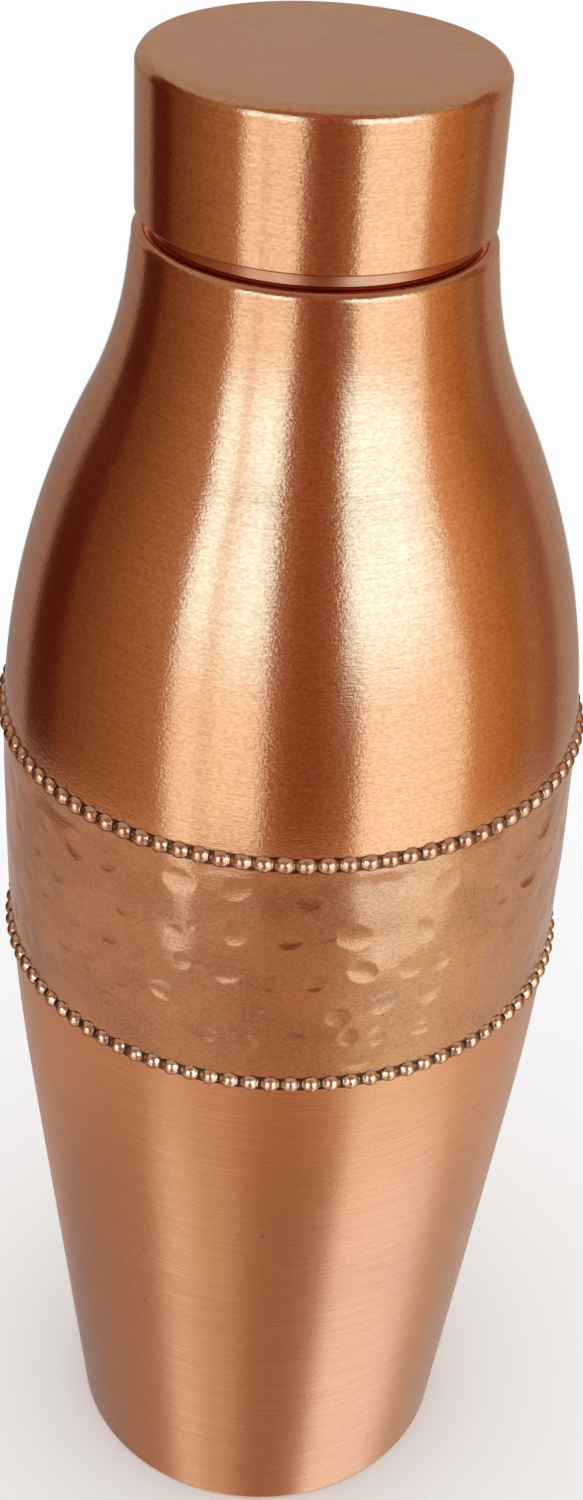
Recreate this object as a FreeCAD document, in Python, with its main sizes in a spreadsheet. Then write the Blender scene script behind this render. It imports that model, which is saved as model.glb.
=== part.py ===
# Copper water bottle: tapered body, hammered belly band between two rows of
# beaded wire, bottle shoulder, threaded neck and a deep screw cap.
# Millimetres, +Z up, origin at the centre of the foot.
import FreeCAD, Part
import math
import os
import Sketcher
from FreeCAD import Vector

doc = FreeCAD.newDocument("copper_bottle")

# ---------------------------------------------------------------- dimensions
sheet = doc.addObject("Spreadsheet::Sheet", "dims")
DIMS = [
    # overall
    ("total_height", 246.0),
    # sheet-metal body
    ("sheet_wall", 0.5),
    ("solder_gap", 0.05),
    ("lap_length", 4.0),
    ("foot_radius", 32.5),
    ("foot_round", 1.0),
    ("foot_rim_width", 3.4),
    ("taper_deg", 6.12),
    ("taper_top_z", 78.8),
    ("belly_radius", 475.0),
    ("lower_seam_z", 109.3),
    ("upper_seam_z", 149.1),
    ("shoulder_radius", 121.6),
    ("inflection_z", 197.9),
    ("throat_radius", 58.7),
    ("throat_top_z", 216.8),
    ("ledge_z", 223.3),
    ("ledge_round", 1.5),
    # base plate
    ("base_wall", 0.7),
    ("base_rise", 2.4),
    ("base_dish_radius", 26.5),
    # neck ring
    ("neck_bore", 19.2),
    ("neck_outer", 20.5),
    ("neck_lip_z", 243.2),
    ("neck_lip_round", 0.5),
    ("neck_skirt_drop", 2.4),
    ("neck_collar_radius", 22.4),
    ("neck_collar_top_radius", 21.95),
    ("neck_collar_height", 1.3),
    # thread
    ("thread_pitch", 4.0),
    ("thread_depth", 1.1),
    ("thread_root_width", 2.6),
    ("thread_crest_width", 1.2),
    ("neck_thread_z", 228.6),
    ("neck_thread_turns", 2.75),
    ("cap_thread_turns", 1.75),
    # cap
    ("cap_radius", 24.2),
    ("cap_bottom_z", 225.3),
    ("cap_wall", 0.6),
    ("cap_round", 2.0),
    ("cap_ring_bore", 22.0),
    ("cap_ring_setback", 0.7),
    ("washer_inner", 16.5),
    ("washer_outer", 23.0),
    # beaded wire
    ("bead_radius", 1.15),
    ("bead_core_radius", 0.75),
    ("bead_stand", 0.85),
    ("upper_bead_count", 92),
    ("lower_bead_count", 91),
    ("upper_bead_turn", 0.31),
    ("lower_bead_turn", 0.6),
]
D = {}
for row, (alias, value) in enumerate(DIMS, start=1):
    sheet.set("A%d" % row, alias)
    sheet.set("B%d" % row, str(value))
    sheet.setAlias("B%d" % row, alias)
doc.recompute()
for alias, value in DIMS:
    D[alias] = float(sheet.get(alias))


# ------------------------------------------------------------------- helpers
def origin_plane(body, role):
    for feature in body.Origin.OriginFeatures:
        if feature.Role == role:
            return feature


def new_body(label):
    body = doc.addObject("PartDesign::Body", label)
    body.Label = label
    return body


def new_sketch(body, name, role="XZ_Plane"):
    sk = body.newObject("Sketcher::SketchObject", name)
    sk.AttachmentSupport = [(origin_plane(body, role), "")]
    sk.MapMode = "FlatFace"
    return sk


def closed_profile(sk, corners, smooth=()):
    """corners: list of (x, y, kind[, radius]) where kind says how the edge that
    leaves the corner runs: 'line', 'arc_l' (centre on the left of the travel)
    or 'arc_r' (centre on the right). Edges are joined end to end; the indices in
    smooth are edges that run tangentially into the next one."""
    n = len(corners)
    ends = []
    for i, c in enumerate(corners):
        a = Vector(c[0], c[1], 0)
        nxt = corners[(i + 1) % n]
        b = Vector(nxt[0], nxt[1], 0)
        if c[2] == "line":
            g = sk.addGeometry(Part.LineSegment(a, b), False)
            ends.append((g, 1, 2))
            if abs(a.x - b.x) < 1e-7:
                sk.addConstraint(Sketcher.Constraint("Vertical", g))
            elif abs(a.y - b.y) < 1e-7:
                sk.addConstraint(Sketcher.Constraint("Horizontal", g))
        else:
            left = c[2] == "arc_l"
            half = (b - a).Length / 2.0
            rise = math.sqrt(max(c[3] * c[3] - half * half, 0.0))
            side = Vector(a.y - b.y, b.x - a.x, 0).normalize() * (1 if left else -1)
            centre = (a + b) * 0.5 + side * rise
            circle = Part.Circle(centre, Vector(0, 0, 1), c[3])
            p, q = (a, b) if left else (b, a)
            t0 = math.atan2(p.y - centre.y, p.x - centre.x)
            t1 = math.atan2(q.y - centre.y, q.x - centre.x)
            if t1 < t0:
                t1 += 2 * math.pi
            g = sk.addGeometry(Part.ArcOfCircle(circle, t0, t1), False)
            ends.append((g, 1, 2) if left else (g, 2, 1))
    for i in range(n):
        g, _, e = ends[i]
        g2, s2, _ = ends[(i + 1) % n]
        kind = "Tangent" if i in smooth else "Coincident"
        sk.addConstraint(Sketcher.Constraint(kind, g, e, g2, s2))
    return ends


def drive(sk, kind, args, expression, name):
    """A driving dimension: drawn at its present size, then bound to the sheet."""
    if kind == "Radius":
        value = sk.Geometry[args[0]].Radius
    else:
        p, q = sk.getPoint(args[0], args[1]), sk.getPoint(args[2], args[3])
        value = q.x - p.x if kind == "DistanceX" else q.y - p.y
    index = sk.addConstraint(Sketcher.Constraint(kind, *args, value))
    sk.renameConstraint(index, name)
    sk.setExpression("Constraints." + name, expression)


def corner_dims(sk, ends, index, x=None, y=None):
    g, s, _ = ends[index]
    if x is not None:
        drive(sk, "DistanceX", (-1, 1, g, s), x, "corner%d_x" % index)
    if y is not None:
        drive(sk, "DistanceY", (-1, 1, g, s), y, "corner%d_y" % index)


def radius_dim(sk, ends, index, expression, name):
    drive(sk, "Radius", (ends[index][0],), expression, name)


def solved(sk):
    doc.recompute()
    code = sk.solve()
    if code != 0:
        raise RuntimeError("sketch %s does not solve: %s" % (sk.Name, code))


def revolve(body, sk, name):
    solved(sk)
    feature = body.newObject("PartDesign::Revolution", name)
    feature.Profile = sk
    feature.ReferenceAxis = (sk, ["V_Axis"])
    feature.Angle = 360.0
    doc.recompute()
    return feature


# ------------------------------------------------- outer line of the body, (r, z)
WALL = D["sheet_wall"]
GAP = D["solder_gap"]
taper = math.radians(D["taper_deg"])
z1, z2, z3, z4 = D["taper_top_z"], D["upper_seam_z"], D["inflection_z"], D["throat_top_z"]
R1, R2, R3 = D["belly_radius"], D["shoulder_radius"], D["throat_radius"]
zs = D["lower_seam_z"]
r0 = D["foot_radius"]
r1 = r0 + math.tan(taper) * z1


def along(r, angle, radius, dz):
    """Follow an arc upward: radius < 0 curves towards the axis."""
    s = math.sin(angle) + dz / radius
    end = math.asin(s)
    return r + radius * (math.cos(angle) - math.cos(end)), end


rs, a_s = along(r1, taper, -R1, zs - z1)          # lower seam
r2, a2 = along(r1, taper, -R1, z2 - z1)           # upper seam
r3, a3 = along(r2, a2, -R2, z3 - z2)              # inflection
r4, a4 = along(r3, a3, R3, z4 - z3)               # top of the throat
z5 = D["ledge_z"] - D["ledge_round"]
r5 = r4 + math.tan(a4) * (z5 - z4)                # start of the rounded ledge edge


def inward(r, z, angle, t):
    """Point t inside the surface whose tangent leans by angle."""
    return r - t * math.cos(angle), z + t * math.sin(angle)


# -------------------------------------------------------------- 1 lower body
lower_body = new_body("lower_body")
sk = new_sketch(lower_body, "lower_body_profile")
fr = D["foot_round"]
# the foot edge rounds from the flat rim into the taper
t_len = fr * math.tan((math.pi / 2 - taper) / 2)
foot_flat_x = r0 - t_len
foot_side = (r0 + t_len * math.sin(taper), t_len * math.cos(taper))
ri1, zi1 = inward(r1, z1, taper, WALL)
ris, zis = inward(rs, zs, a_s, WALL)
fi = fr - WALL
t_in = fi * math.tan((math.pi / 2 - taper) / 2)
# inner corner of the foot: inside line of the taper meets the top of the rim
rin_foot = (r0 - WALL / math.cos(taper)) + math.tan(taper) * WALL
foot_in_side = (rin_foot + t_in * math.sin(taper), WALL + t_in * math.cos(taper))
lap_r = rs - WALL - GAP
corners = [
    (foot_flat_x, 0.0, "arc_l", fr),                       # 0 foot rounding
    (foot_side[0], foot_side[1], "line"),                  # 1 taper
    (r1, z1, "arc_l", R1),                                 # 2 belly arc
    (rs, zs, "line"),                                      # 3 step in at the seam
    (lap_r, zs, "line"),                                   # 4 lap, outside
    (lap_r, zs + D["lap_length"], "line"),                 # 5 lap, top
    (lap_r - WALL, zs + D["lap_length"], "line"),          # 6 lap, inside
    (lap_r - WALL, zs - 1.5, "line"),                      # 7 joggle
]
# inside of the wall below the joggle follows the belly arc
zj = zs - 3.0
sj = math.sin(taper) - (zj - z1) / R1
aj = math.asin(sj)
rj_out = r1 - R1 * (math.cos(taper) - math.cos(aj))
rj, zj2 = inward(rj_out, zj, aj, WALL)
corners += [
    (rj, zj2, "arc_r", R1 - WALL),                         # 8 belly arc, inside
    (ri1, zi1, "line"),                                    # 9 taper, inside
    (foot_in_side[0], foot_in_side[1], "arc_r", fi),       # 10 inner rounding
    (rin_foot - t_in, WALL, "line"),                       # 11 top of rim
    (r0 - D["foot_rim_width"], WALL, "line"),              # 12 rim edge
    (r0 - D["foot_rim_width"], 0.0, "line"),               # 13 underside of rim
]
ends = closed_profile(sk, corners, smooth=(0, 1, 8, 9, 10, 13))
radius_dim(sk, ends, 0, "dims.foot_round", "foot_round")
sk.addConstraint(Sketcher.Constraint("PointOnObject", ends[0][0], ends[0][1], -1))
radius_dim(sk, ends, 2, "dims.belly_radius", "belly_radius")
corner_dims(sk, ends, 2, y="dims.taper_top_z")
corner_dims(sk, ends, 3, y="dims.lower_seam_z")
drive(sk, "DistanceY", (ends[4][0], 1, ends[4][0], 2), "dims.lap_length", "lap_length")
drive(sk, "DistanceX", (ends[6][0], 1, ends[4][0], 2), "dims.sheet_wall", "lap_wall")
drive(sk, "DistanceX", (ends[4][0], 1, ends[3][0], 1), "dims.sheet_wall + dims.solder_gap", "step_in")
radius_dim(sk, ends, 8, "dims.belly_radius - dims.sheet_wall", "belly_inside")
radius_dim(sk, ends, 10, "dims.foot_round - dims.sheet_wall", "foot_inside")
drive(sk, "DistanceY", (ends[12][0], 2, ends[12][0], 1), "dims.sheet_wall", "rim_wall")
corner_dims(sk, ends, 13, x="dims.foot_radius - dims.foot_rim_width")
revolve(lower_body, sk, "lower_body_spin")

# -------------------------------------------------------------- 2 base plate
base_plate = new_body("base_plate")
sk = new_sketch(base_plate, "base_plate_profile")
bw = D["base_wall"]
b_z = WALL + GAP
b_r = rin_foot - 0.45
rise = D["base_rise"]
dish = D["base_dish_radius"]
corners = [
    (0.0, b_z + rise, "line"),
    (dish - 2.0, b_z + rise, "line"),
    (dish, b_z, "line"),
    (b_r, b_z, "line"),
    (b_r, b_z + bw, "line"),
    (dish + 0.25, b_z + bw, "line"),
    (dish - 1.75, b_z + bw + rise, "line"),
    (0.0, b_z + bw + rise, "line"),
]
ends = closed_profile(sk, corners)
corner_dims(sk, ends, 0, y="dims.sheet_wall + dims.solder_gap + dims.base_rise")
corner_dims(sk, ends, 2, x="dims.base_dish_radius", y="dims.sheet_wall + dims.solder_gap")
drive(sk, "DistanceY", (ends[3][0], 1, ends[3][0], 2), "dims.base_wall", "plate_wall")
drive(sk, "DistanceY", (ends[7][0], 2, ends[7][0], 1), "dims.base_wall", "dish_wall")
revolve(base_plate, sk, "base_plate_spin")

# ----------------------------------------------------------- 3 hammered band
hammered_band = new_body("hammered_band")
sk = new_sketch(hammered_band, "hammered_band_profile")
zb0, zb1 = zs + GAP, z2 - GAP


def belly(z):
    s = math.sin(taper) - (z - z1) / R1
    a = math.asin(s)
    return r1 - R1 * (math.cos(taper) - math.cos(a)), a


rb0, ab0 = belly(zb0)
rb1, ab1 = belly(zb1)
cz = z1 + R1 * math.sin(taper)                    # height of the belly arc's centre


def belly_inside(z):
    rr = R1 - WALL
    cx = r1 - R1 * math.cos(taper)
    return cx + math.sqrt(rr * rr - (z - cz) ** 2)


corners = [
    (belly_inside(zb0), zb0, "line"),
    (rb0, zb0, "arc_l", R1),
    (rb1, zb1, "line"),
    (belly_inside(zb1), zb1, "arc_r", R1 - WALL),
]
ends = closed_profile(sk, corners)
corner_dims(sk, ends, 0, y="dims.lower_seam_z + dims.solder_gap")
corner_dims(sk, ends, 2, y="dims.upper_seam_z - dims.solder_gap")
radius_dim(sk, ends, 1, "dims.belly_radius", "belly_radius")
radius_dim(sk, ends, 3, "dims.belly_radius - dims.sheet_wall", "belly_inside")
revolve(hammered_band, sk, "hammered_band_spin")

# -------------------------------------------------------------- 4 upper body
upper_body = new_body("upper_body")
sk = new_sketch(upper_body, "upper_body_profile")
lr = D["ledge_round"]
a5 = a4
# rounded corner between the leaning side and the flat ledge
t_out = lr * math.tan((math.pi / 2 + a5) / 2)
ledge_corner_r = r4 + math.tan(a4) * (D["ledge_z"] - z4)
side_end = (ledge_corner_r - t_out * math.sin(a5), D["ledge_z"] - t_out * math.cos(a5))
ledge_flat = (ledge_corner_r - t_out, D["ledge_z"])
u_lap_r = belly_inside(z2) - GAP
hole = D["neck_outer"] + GAP
# inside points
lri = lr - WALL
rin_ledge = ledge_corner_r - WALL / math.cos(a5) - math.tan(a5) * WALL
t_lin = lri * math.tan((math.pi / 2 + a5) / 2)
ri4, zi4 = inward(r4, z4, a4, WALL)
ri3, zi3 = inward(r3, z3, a3, WALL)
zk = z2 + 3.0
sk_ = math.sin(a2) - (zk - z2) / R2
ak = math.asin(sk_)
rk_out = r2 - R2 * (math.cos(a2) - math.cos(ak))
rk, zk2 = inward(rk_out, zk, ak, WALL)
corners = [
    (r2, z2, "arc_l", R2),                                                  # 0 shoulder
    (r3, z3, "arc_r", R3),                                                  # 1 throat
    (r4, z4, "line"),                                                       # 2 neck side
    (side_end[0], side_end[1], "arc_l", lr),                                # 3 ledge edge
    (ledge_flat[0], ledge_flat[1], "line"),                                 # 4 ledge
    (hole, D["ledge_z"], "line"),                                           # 5 hole
    (hole, D["ledge_z"] - WALL, "line"),                                    # 6 under ledge
    (rin_ledge - t_lin, D["ledge_z"] - WALL, "arc_r", lri),                 # 7 inner edge
    (rin_ledge - t_lin * math.sin(a5), D["ledge_z"] - WALL - t_lin * math.cos(a5), "line"),  # 8
    (ri4, zi4, "arc_l", R3 + WALL),                                         # 9 throat inside
    (ri3, zi3, "arc_r", R2 - WALL),                                         # 10 shoulder inside
    (rk, zk2, "line"),                                                      # 11 joggle
    (u_lap_r - WALL, z2 + 1.5, "line"),                                     # 12 lap inside
    (u_lap_r - WALL, z2 - D["lap_length"], "line"),                         # 13 lap end
    (u_lap_r, z2 - D["lap_length"], "line"),                                # 14 lap outside
    (u_lap_r, z2, "line"),                                                  # 15 step out
]
ends = closed_profile(sk, corners, smooth=(0, 1, 2, 3, 6, 7, 8, 9))
radius_dim(sk, ends, 0, "dims.shoulder_radius", "shoulder_radius")
radius_dim(sk, ends, 1, "dims.throat_radius", "throat_radius")
radius_dim(sk, ends, 3, "dims.ledge_round", "ledge_round")
radius_dim(sk, ends, 7, "dims.ledge_round - dims.sheet_wall", "ledge_inside")
radius_dim(sk, ends, 9, "dims.throat_radius + dims.sheet_wall", "throat_inside")
radius_dim(sk, ends, 10, "dims.shoulder_radius - dims.sheet_wall", "shoulder_inside")
corner_dims(sk, ends, 0, y="dims.upper_seam_z")
corner_dims(sk, ends, 1, y="dims.inflection_z")
corner_dims(sk, ends, 2, y="dims.throat_top_z")
corner_dims(sk, ends, 5, x="dims.neck_outer + dims.solder_gap", y="dims.ledge_z")
drive(sk, "DistanceY", (ends[5][0], 2, ends[5][0], 1), "dims.sheet_wall", "ledge_wall")
drive(sk, "DistanceY", (ends[14][0], 1, ends[14][0], 2), "dims.lap_length", "lap_length")
drive(sk, "DistanceX", (ends[13][0], 1, ends[13][0], 2), "dims.sheet_wall", "lap_wall")
revolve(upper_body, sk, "upper_body_spin")

# --------------------------------------------------------------- 5 neck ring
neck_ring = new_body("neck_ring")
sk = new_sketch(neck_ring, "neck_ring_profile")
nb, no, nl = D["neck_bore"], D["neck_outer"], D["neck_lip_z"]
nlr = D["neck_lip_round"]
fz1 = D["ledge_z"] + GAP
fz0 = D["ledge_z"] - D["neck_skirt_drop"]
nf, nft = D["neck_collar_radius"], D["neck_collar_top_radius"]
# a skirt drops through the ledge's hole; a tapered collar rests on the ledge
corners = [
    (nb, fz0, "line"),
    (no, fz0, "line"),
    (no, fz1, "line"),
    (nf, fz1, "line"),
    (nft, fz1 + D["neck_collar_height"], "line"),
    (no, fz1 + D["neck_collar_height"], "line"),
    (no, nl - nlr, "arc_l", nlr),
    (no - nlr, nl, "line"),
    (nb + nlr, nl, "arc_l", nlr),
    (nb, nl - nlr, "line"),
]
ends = closed_profile(sk, corners)
corner_dims(sk, ends, 0, x="dims.neck_bore", y="dims.ledge_z - dims.neck_skirt_drop")
corner_dims(sk, ends, 2, x="dims.neck_outer", y="dims.ledge_z + dims.solder_gap")
corner_dims(sk, ends, 3, x="dims.neck_collar_radius")
corner_dims(sk, ends, 4, x="dims.neck_collar_top_radius")
drive(sk, "DistanceY", (ends[3][0], 1, ends[4][0], 1), "dims.neck_collar_height", "collar_height")
corner_dims(sk, ends, 5, x="dims.neck_outer")
corner_dims(sk, ends, 7, x="dims.neck_outer - dims.neck_lip_round", y="dims.neck_lip_z")
corner_dims(sk, ends, 8, x="dims.neck_bore + dims.neck_lip_round")
corner_dims(sk, ends, 6, y="dims.neck_lip_z - dims.neck_lip_round")
corner_dims(sk, ends, 9, y="dims.neck_lip_z - dims.neck_lip_round")
radius_dim(sk, ends, 6, "dims.neck_lip_round", "lip_round_out")
radius_dim(sk, ends, 8, "dims.neck_lip_round", "lip_round_in")
revolve(neck_ring, sk, "neck_ring_spin")

# right-hand thread ridge outside the neck
EMBED = 0.3
sk = new_sketch(neck_ring, "neck_thread_profile")
tz, tw, tc, td = D["neck_thread_z"], D["thread_root_width"], D["thread_crest_width"], D["thread_depth"]
grow = (tw - tc) / 2.0 / td * EMBED
corners = [
    (no - EMBED, tz - tw / 2 - grow, "line"),
    (no + td, tz - tc / 2, "line"),
    (no + td, tz + tc / 2, "line"),
    (no - EMBED, tz + tw / 2 + grow, "line"),
]
ends = closed_profile(sk, corners)
corner_dims(sk, ends, 1, x="dims.neck_outer + dims.thread_depth", y="dims.neck_thread_z - dims.thread_crest_width/2")
drive(sk, "DistanceY", (ends[1][0], 1, ends[1][0], 2), "dims.thread_crest_width", "crest_width")
solved(sk)
thread = neck_ring.newObject("PartDesign::AdditiveHelix", "neck_thread")
thread.Profile = sk
thread.ReferenceAxis = (sk, ["V_Axis"])
thread.Mode = 0
thread.Pitch = D["thread_pitch"]
thread.Height = D["thread_pitch"] * D["neck_thread_turns"]
thread.setExpression("Pitch", "dims.thread_pitch")
thread.setExpression("Height", "dims.thread_pitch * dims.neck_thread_turns")
thread.LeftHanded = False
doc.recompute()

# --------------------------------------------------------------- 6 cap shell
cap_shell = new_body("cap_shell")
sk = new_sketch(cap_shell, "cap_shell_profile")
cr, cb, cw, ct, co = D["cap_radius"], D["cap_bottom_z"], D["cap_wall"], D["total_height"], D["cap_round"]
ci = co - cw
corners = [
    (0.0, ct - cw, "line"),
    (cr - cw - ci, ct - cw, "arc_r", ci),
    (cr - cw, ct - cw - ci, "line"),
    (cr - cw, cb, "line"),
    (cr - 0.25, cb, "arc_l", 0.25),
    (cr, cb + 0.25, "line"),
    (cr, ct - co, "arc_l", co),
    (cr - co, ct, "line"),
    (0.0, ct, "line"),
]
ends = closed_profile(sk, corners)
corner_dims(sk, ends, 3, x="dims.cap_radius - dims.cap_wall", y="dims.cap_bottom_z")
corner_dims(sk, ends, 6, x="dims.cap_radius", y="dims.total_height - dims.cap_round")
corner_dims(sk, ends, 7, x="dims.cap_radius - dims.cap_round", y="dims.total_height")
radius_dim(sk, ends, 6, "dims.cap_round", "cap_round")
corner_dims(sk, ends, 1, x="dims.cap_radius - dims.cap_round", y="dims.total_height - dims.cap_wall")
corner_dims(sk, ends, 2, y="dims.total_height - dims.cap_round")
revolve(cap_shell, sk, "cap_shell_spin")

# --------------------------------------------------------- 7 cap thread ring
cap_thread_ring = new_body("cap_thread_ring")
sk = new_sketch(cap_thread_ring, "cap_ring_profile")
kr = D["cap_ring_bore"]
ko = cr - cw - GAP
k0 = cb + D["cap_ring_setback"]
k1 = nl
corners = [
    (kr + 0.5, k0, "line"),
    (ko, k0, "line"),
    (ko, k1, "line"),
    (kr, k1, "line"),
    (kr, k0 + 0.5, "line"),
]
ends = closed_profile(sk, corners)
corner_dims(sk, ends, 1, x="dims.cap_radius - dims.cap_wall - dims.solder_gap", y="dims.cap_bottom_z + dims.cap_ring_setback")
corner_dims(sk, ends, 3, x="dims.cap_ring_bore", y="dims.neck_lip_z")
revolve(cap_thread_ring, sk, "cap_ring_spin")
sk = new_sketch(cap_thread_ring, "cap_thread_profile")
cz0 = tz + D["thread_pitch"] / 2.0
corners = [
    (kr + EMBED, cz0 - tw / 2 - grow, "line"),
    (kr + EMBED, cz0 + tw / 2 + grow, "line"),
    (kr - td, cz0 + tc / 2, "line"),
    (kr - td, cz0 - tc / 2, "line"),
]
ends = closed_profile(sk, corners)
corner_dims(sk, ends, 2, x="dims.cap_ring_bore - dims.thread_depth", y="dims.neck_thread_z + dims.thread_pitch/2 + dims.thread_crest_width/2")
drive(sk, "DistanceY", (ends[2][0], 2, ends[2][0], 1), "dims.thread_crest_width", "crest_width")
solved(sk)
thread = cap_thread_ring.newObject("PartDesign::AdditiveHelix", "cap_thread")
thread.Profile = sk
thread.ReferenceAxis = (sk, ["V_Axis"])
thread.Mode = 0
thread.Pitch = D["thread_pitch"]
thread.Height = D["thread_pitch"] * D["cap_thread_turns"]
thread.setExpression("Pitch", "dims.thread_pitch")
thread.setExpression("Height", "dims.thread_pitch * dims.cap_thread_turns")
thread.LeftHanded = False
doc.recompute()

# ---------------------------------------------------------- 8 sealing washer
sealing_washer = new_body("sealing_washer")
sk = new_sketch(sealing_washer, "washer_profile")
w0, w1 = nl + GAP, ct - cw - GAP
wi, wo = D["washer_inner"], D["washer_outer"]
# the outer corner is eased to clear the rounding inside the cap
corners = [
    (wi, w0, "line"),
    (wo, w0, "line"),
    (wo, w1 - 1.0, "line"),
    (wo - 1.0, w1, "line"),
    (wi, w1, "line"),
]
ends = closed_profile(sk, corners)
corner_dims(sk, ends, 0, x="dims.washer_inner", y="dims.neck_lip_z + dims.solder_gap")
corner_dims(sk, ends, 1, x="dims.washer_outer")
corner_dims(sk, ends, 4, y="dims.total_height - dims.cap_wall - dims.solder_gap")
revolve(sealing_washer, sk, "washer_spin")


# ------------------------------------------------------- 9, 10 beaded wires
def beaded_wire(label, seam_z, seam_r, lean, count_alias, turn_alias):
    """Half-round wire rolled into a row of beads, flat against the body."""
    body = new_body(label)
    back = seam_r + 0.06 + abs(math.tan(lean)) * D["bead_radius"]
    mid = seam_r + D["bead_stand"] - D["bead_radius"]
    core, bead = D["bead_core_radius"], D["bead_radius"]
    # core: the part of a round wire that stands outside the body
    half = math.sqrt(core * core - (back - mid) ** 2)
    sk = new_sketch(body, label + "_core")
    corners = [
        (back, seam_z - half, "arc_l", core),
        (back, seam_z + half, "line"),
    ]
    ends = closed_profile(sk, corners)
    radius_dim(sk, ends, 0, "dims.bead_core_radius", "core_radius")
    revolve(body, sk, label + "_core_spin")
    # one bead: the outer cap of a ball, turned about its own radial axis
    sk = new_sketch(body, label + "_bead")
    h = math.sqrt(bead * bead - (back - mid) ** 2)
    corners = [
        (back, seam_z, "line"),
        (mid + bead, seam_z, "arc_l", bead),
        (back, seam_z + h, "line"),
    ]
    ends = closed_profile(sk, corners)
    radius_dim(sk, ends, 1, "dims.bead_radius", "bead_radius")
    solved(sk)
    ball = body.newObject("PartDesign::Revolution", label + "_ball")
    ball.Profile = sk
    ball.ReferenceAxis = (sk, ["Edge1"])
    ball.Angle = 360.0
    doc.recompute()
    row = body.newObject("PartDesign::PolarPattern", label + "_row")
    row.Originals = [ball]
    row.Axis = (origin_plane(body, "Z_Axis"), [""])
    row.Angle = 360.0
    row.Occurrences = int(D[count_alias])
    row.setExpression("Occurrences", "dims." + count_alias)
    body.Tip = row
    body.Placement = FreeCAD.Placement(Vector(0, 0, 0), FreeCAD.Rotation(Vector(0, 0, 1), D[turn_alias]))
    body.setExpression("Placement.Rotation.Angle", "dims.%s * 1deg" % turn_alias)
    doc.recompute()
    return body


lower_bead_wire = beaded_wire("lower_bead_wire", zs, rs, a_s, "lower_bead_count", "lower_bead_turn")
upper_bead_wire = beaded_wire("upper_bead_wire", z2, r2, a2, "upper_bead_count", "upper_bead_turn")

# ------------------------------------------------------------------- export
doc.recompute()
for obj in doc.Objects:
    if "Invalid" in obj.State or "Error" in obj.State:
        raise RuntimeError("%s failed: %s" % (obj.Name, obj.State))
PARTS = [
    lower_body, base_plate, hammered_band, upper_body, neck_ring,
    cap_shell, cap_thread_ring, sealing_washer, lower_bead_wire, upper_bead_wire,
]
os.makedirs("parts", exist_ok=True)
for body in PARTS:
    shape = body.Shape
    if shape.isNull() or not shape.isValid() or not shape.Solids:
        raise RuntimeError("%s has no valid shape" % body.Label)
    print("%-18s solids %d  volume %9.1f mm3  z %.2f..%.2f" % (
        body.Label, len(shape.Solids), shape.Volume, shape.BoundBox.ZMin, shape.BoundBox.ZMax))
    shape.exportStep("parts/%s.step" % body.Label)
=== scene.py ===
import math
import random

import bpy
import numpy as np
from mathutils import Matrix, Vector


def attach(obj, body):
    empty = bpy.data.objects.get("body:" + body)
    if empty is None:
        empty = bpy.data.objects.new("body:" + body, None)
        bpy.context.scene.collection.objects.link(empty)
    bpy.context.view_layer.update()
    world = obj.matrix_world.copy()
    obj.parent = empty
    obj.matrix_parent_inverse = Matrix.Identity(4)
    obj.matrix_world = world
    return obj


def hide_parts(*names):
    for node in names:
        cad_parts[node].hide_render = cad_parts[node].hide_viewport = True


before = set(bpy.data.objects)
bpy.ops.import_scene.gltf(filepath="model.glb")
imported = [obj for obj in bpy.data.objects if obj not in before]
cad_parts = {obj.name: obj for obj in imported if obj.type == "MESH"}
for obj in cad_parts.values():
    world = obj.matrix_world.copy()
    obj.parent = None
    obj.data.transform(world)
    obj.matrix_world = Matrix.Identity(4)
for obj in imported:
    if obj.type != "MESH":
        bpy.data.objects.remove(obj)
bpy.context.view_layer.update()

MM = 0.001

# ---------------------------------------------------------------- body's line
# the same arcs as the CAD profile, in millimetres: (r, z), angle from vertical
TAPER = math.radians(6.12)
FOOT_R, TAPER_Z, BELLY_R = 32.5, 78.8, 475.0
LOW_Z, UP_Z = 109.3, 149.1
SHOULDER_R, INFLECT_Z, THROAT_R, THROAT_Z = 121.6, 197.9, 58.7, 216.8
LEDGE_Z, LEDGE_ROUND = 223.3, 1.5
WALL, GAP, LAP = 0.5, 0.05, 4.0
CAP_R, CAP_Z, TOP_Z, CAP_WALL, CAP_ROUND = 24.2, 225.3, 246.0, 0.6, 2.0
BEAD_R, CORE_R, BEAD_STAND = 1.42, 0.86, 1.06


def along(r, a, radius, dz):
    end = math.asin(math.sin(a) + dz / radius)
    return r + radius * (math.cos(a) - math.cos(end)), end


R_TAPER = FOOT_R + math.tan(TAPER) * TAPER_Z
R_UP, A_UP = along(R_TAPER, TAPER, -BELLY_R, UP_Z - TAPER_Z)
R_INF, A_INF = along(R_UP, A_UP, -SHOULDER_R, INFLECT_Z - UP_Z)
R_THR, A_THR = along(R_INF, A_INF, THROAT_R, THROAT_Z - INFLECT_Z)


def outer(z):
    """Radius and lean of the outside at height z."""
    if z <= TAPER_Z:
        return FOOT_R + math.tan(TAPER) * z, TAPER
    if z <= UP_Z:
        return along(R_TAPER, TAPER, -BELLY_R, z - TAPER_Z)
    if z <= INFLECT_Z:
        return along(R_UP, A_UP, -SHOULDER_R, z - UP_Z)
    if z <= THROAT_Z:
        return along(R_INF, A_INF, THROAT_R, z - INFLECT_Z)
    return R_THR + math.tan(A_THR) * (z - THROAT_Z), A_THR


def wall_run(z_from, z_to, step, inset=0.0):
    """Points (r, z, nr, nz) along the wall; inset > 0 gives the inside face."""
    n = max(2, int(abs(z_to - z_from) / step) + 1)
    run = []
    for z in np.linspace(z_from, z_to, n):
        r, a = outer(float(z))
        c, s = math.cos(a), math.sin(a)
        if inset:
            run.append((r - inset * c, float(z) + inset * s, -c, s))
        else:
            run.append((r, float(z), c, -s))
    return run


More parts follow.
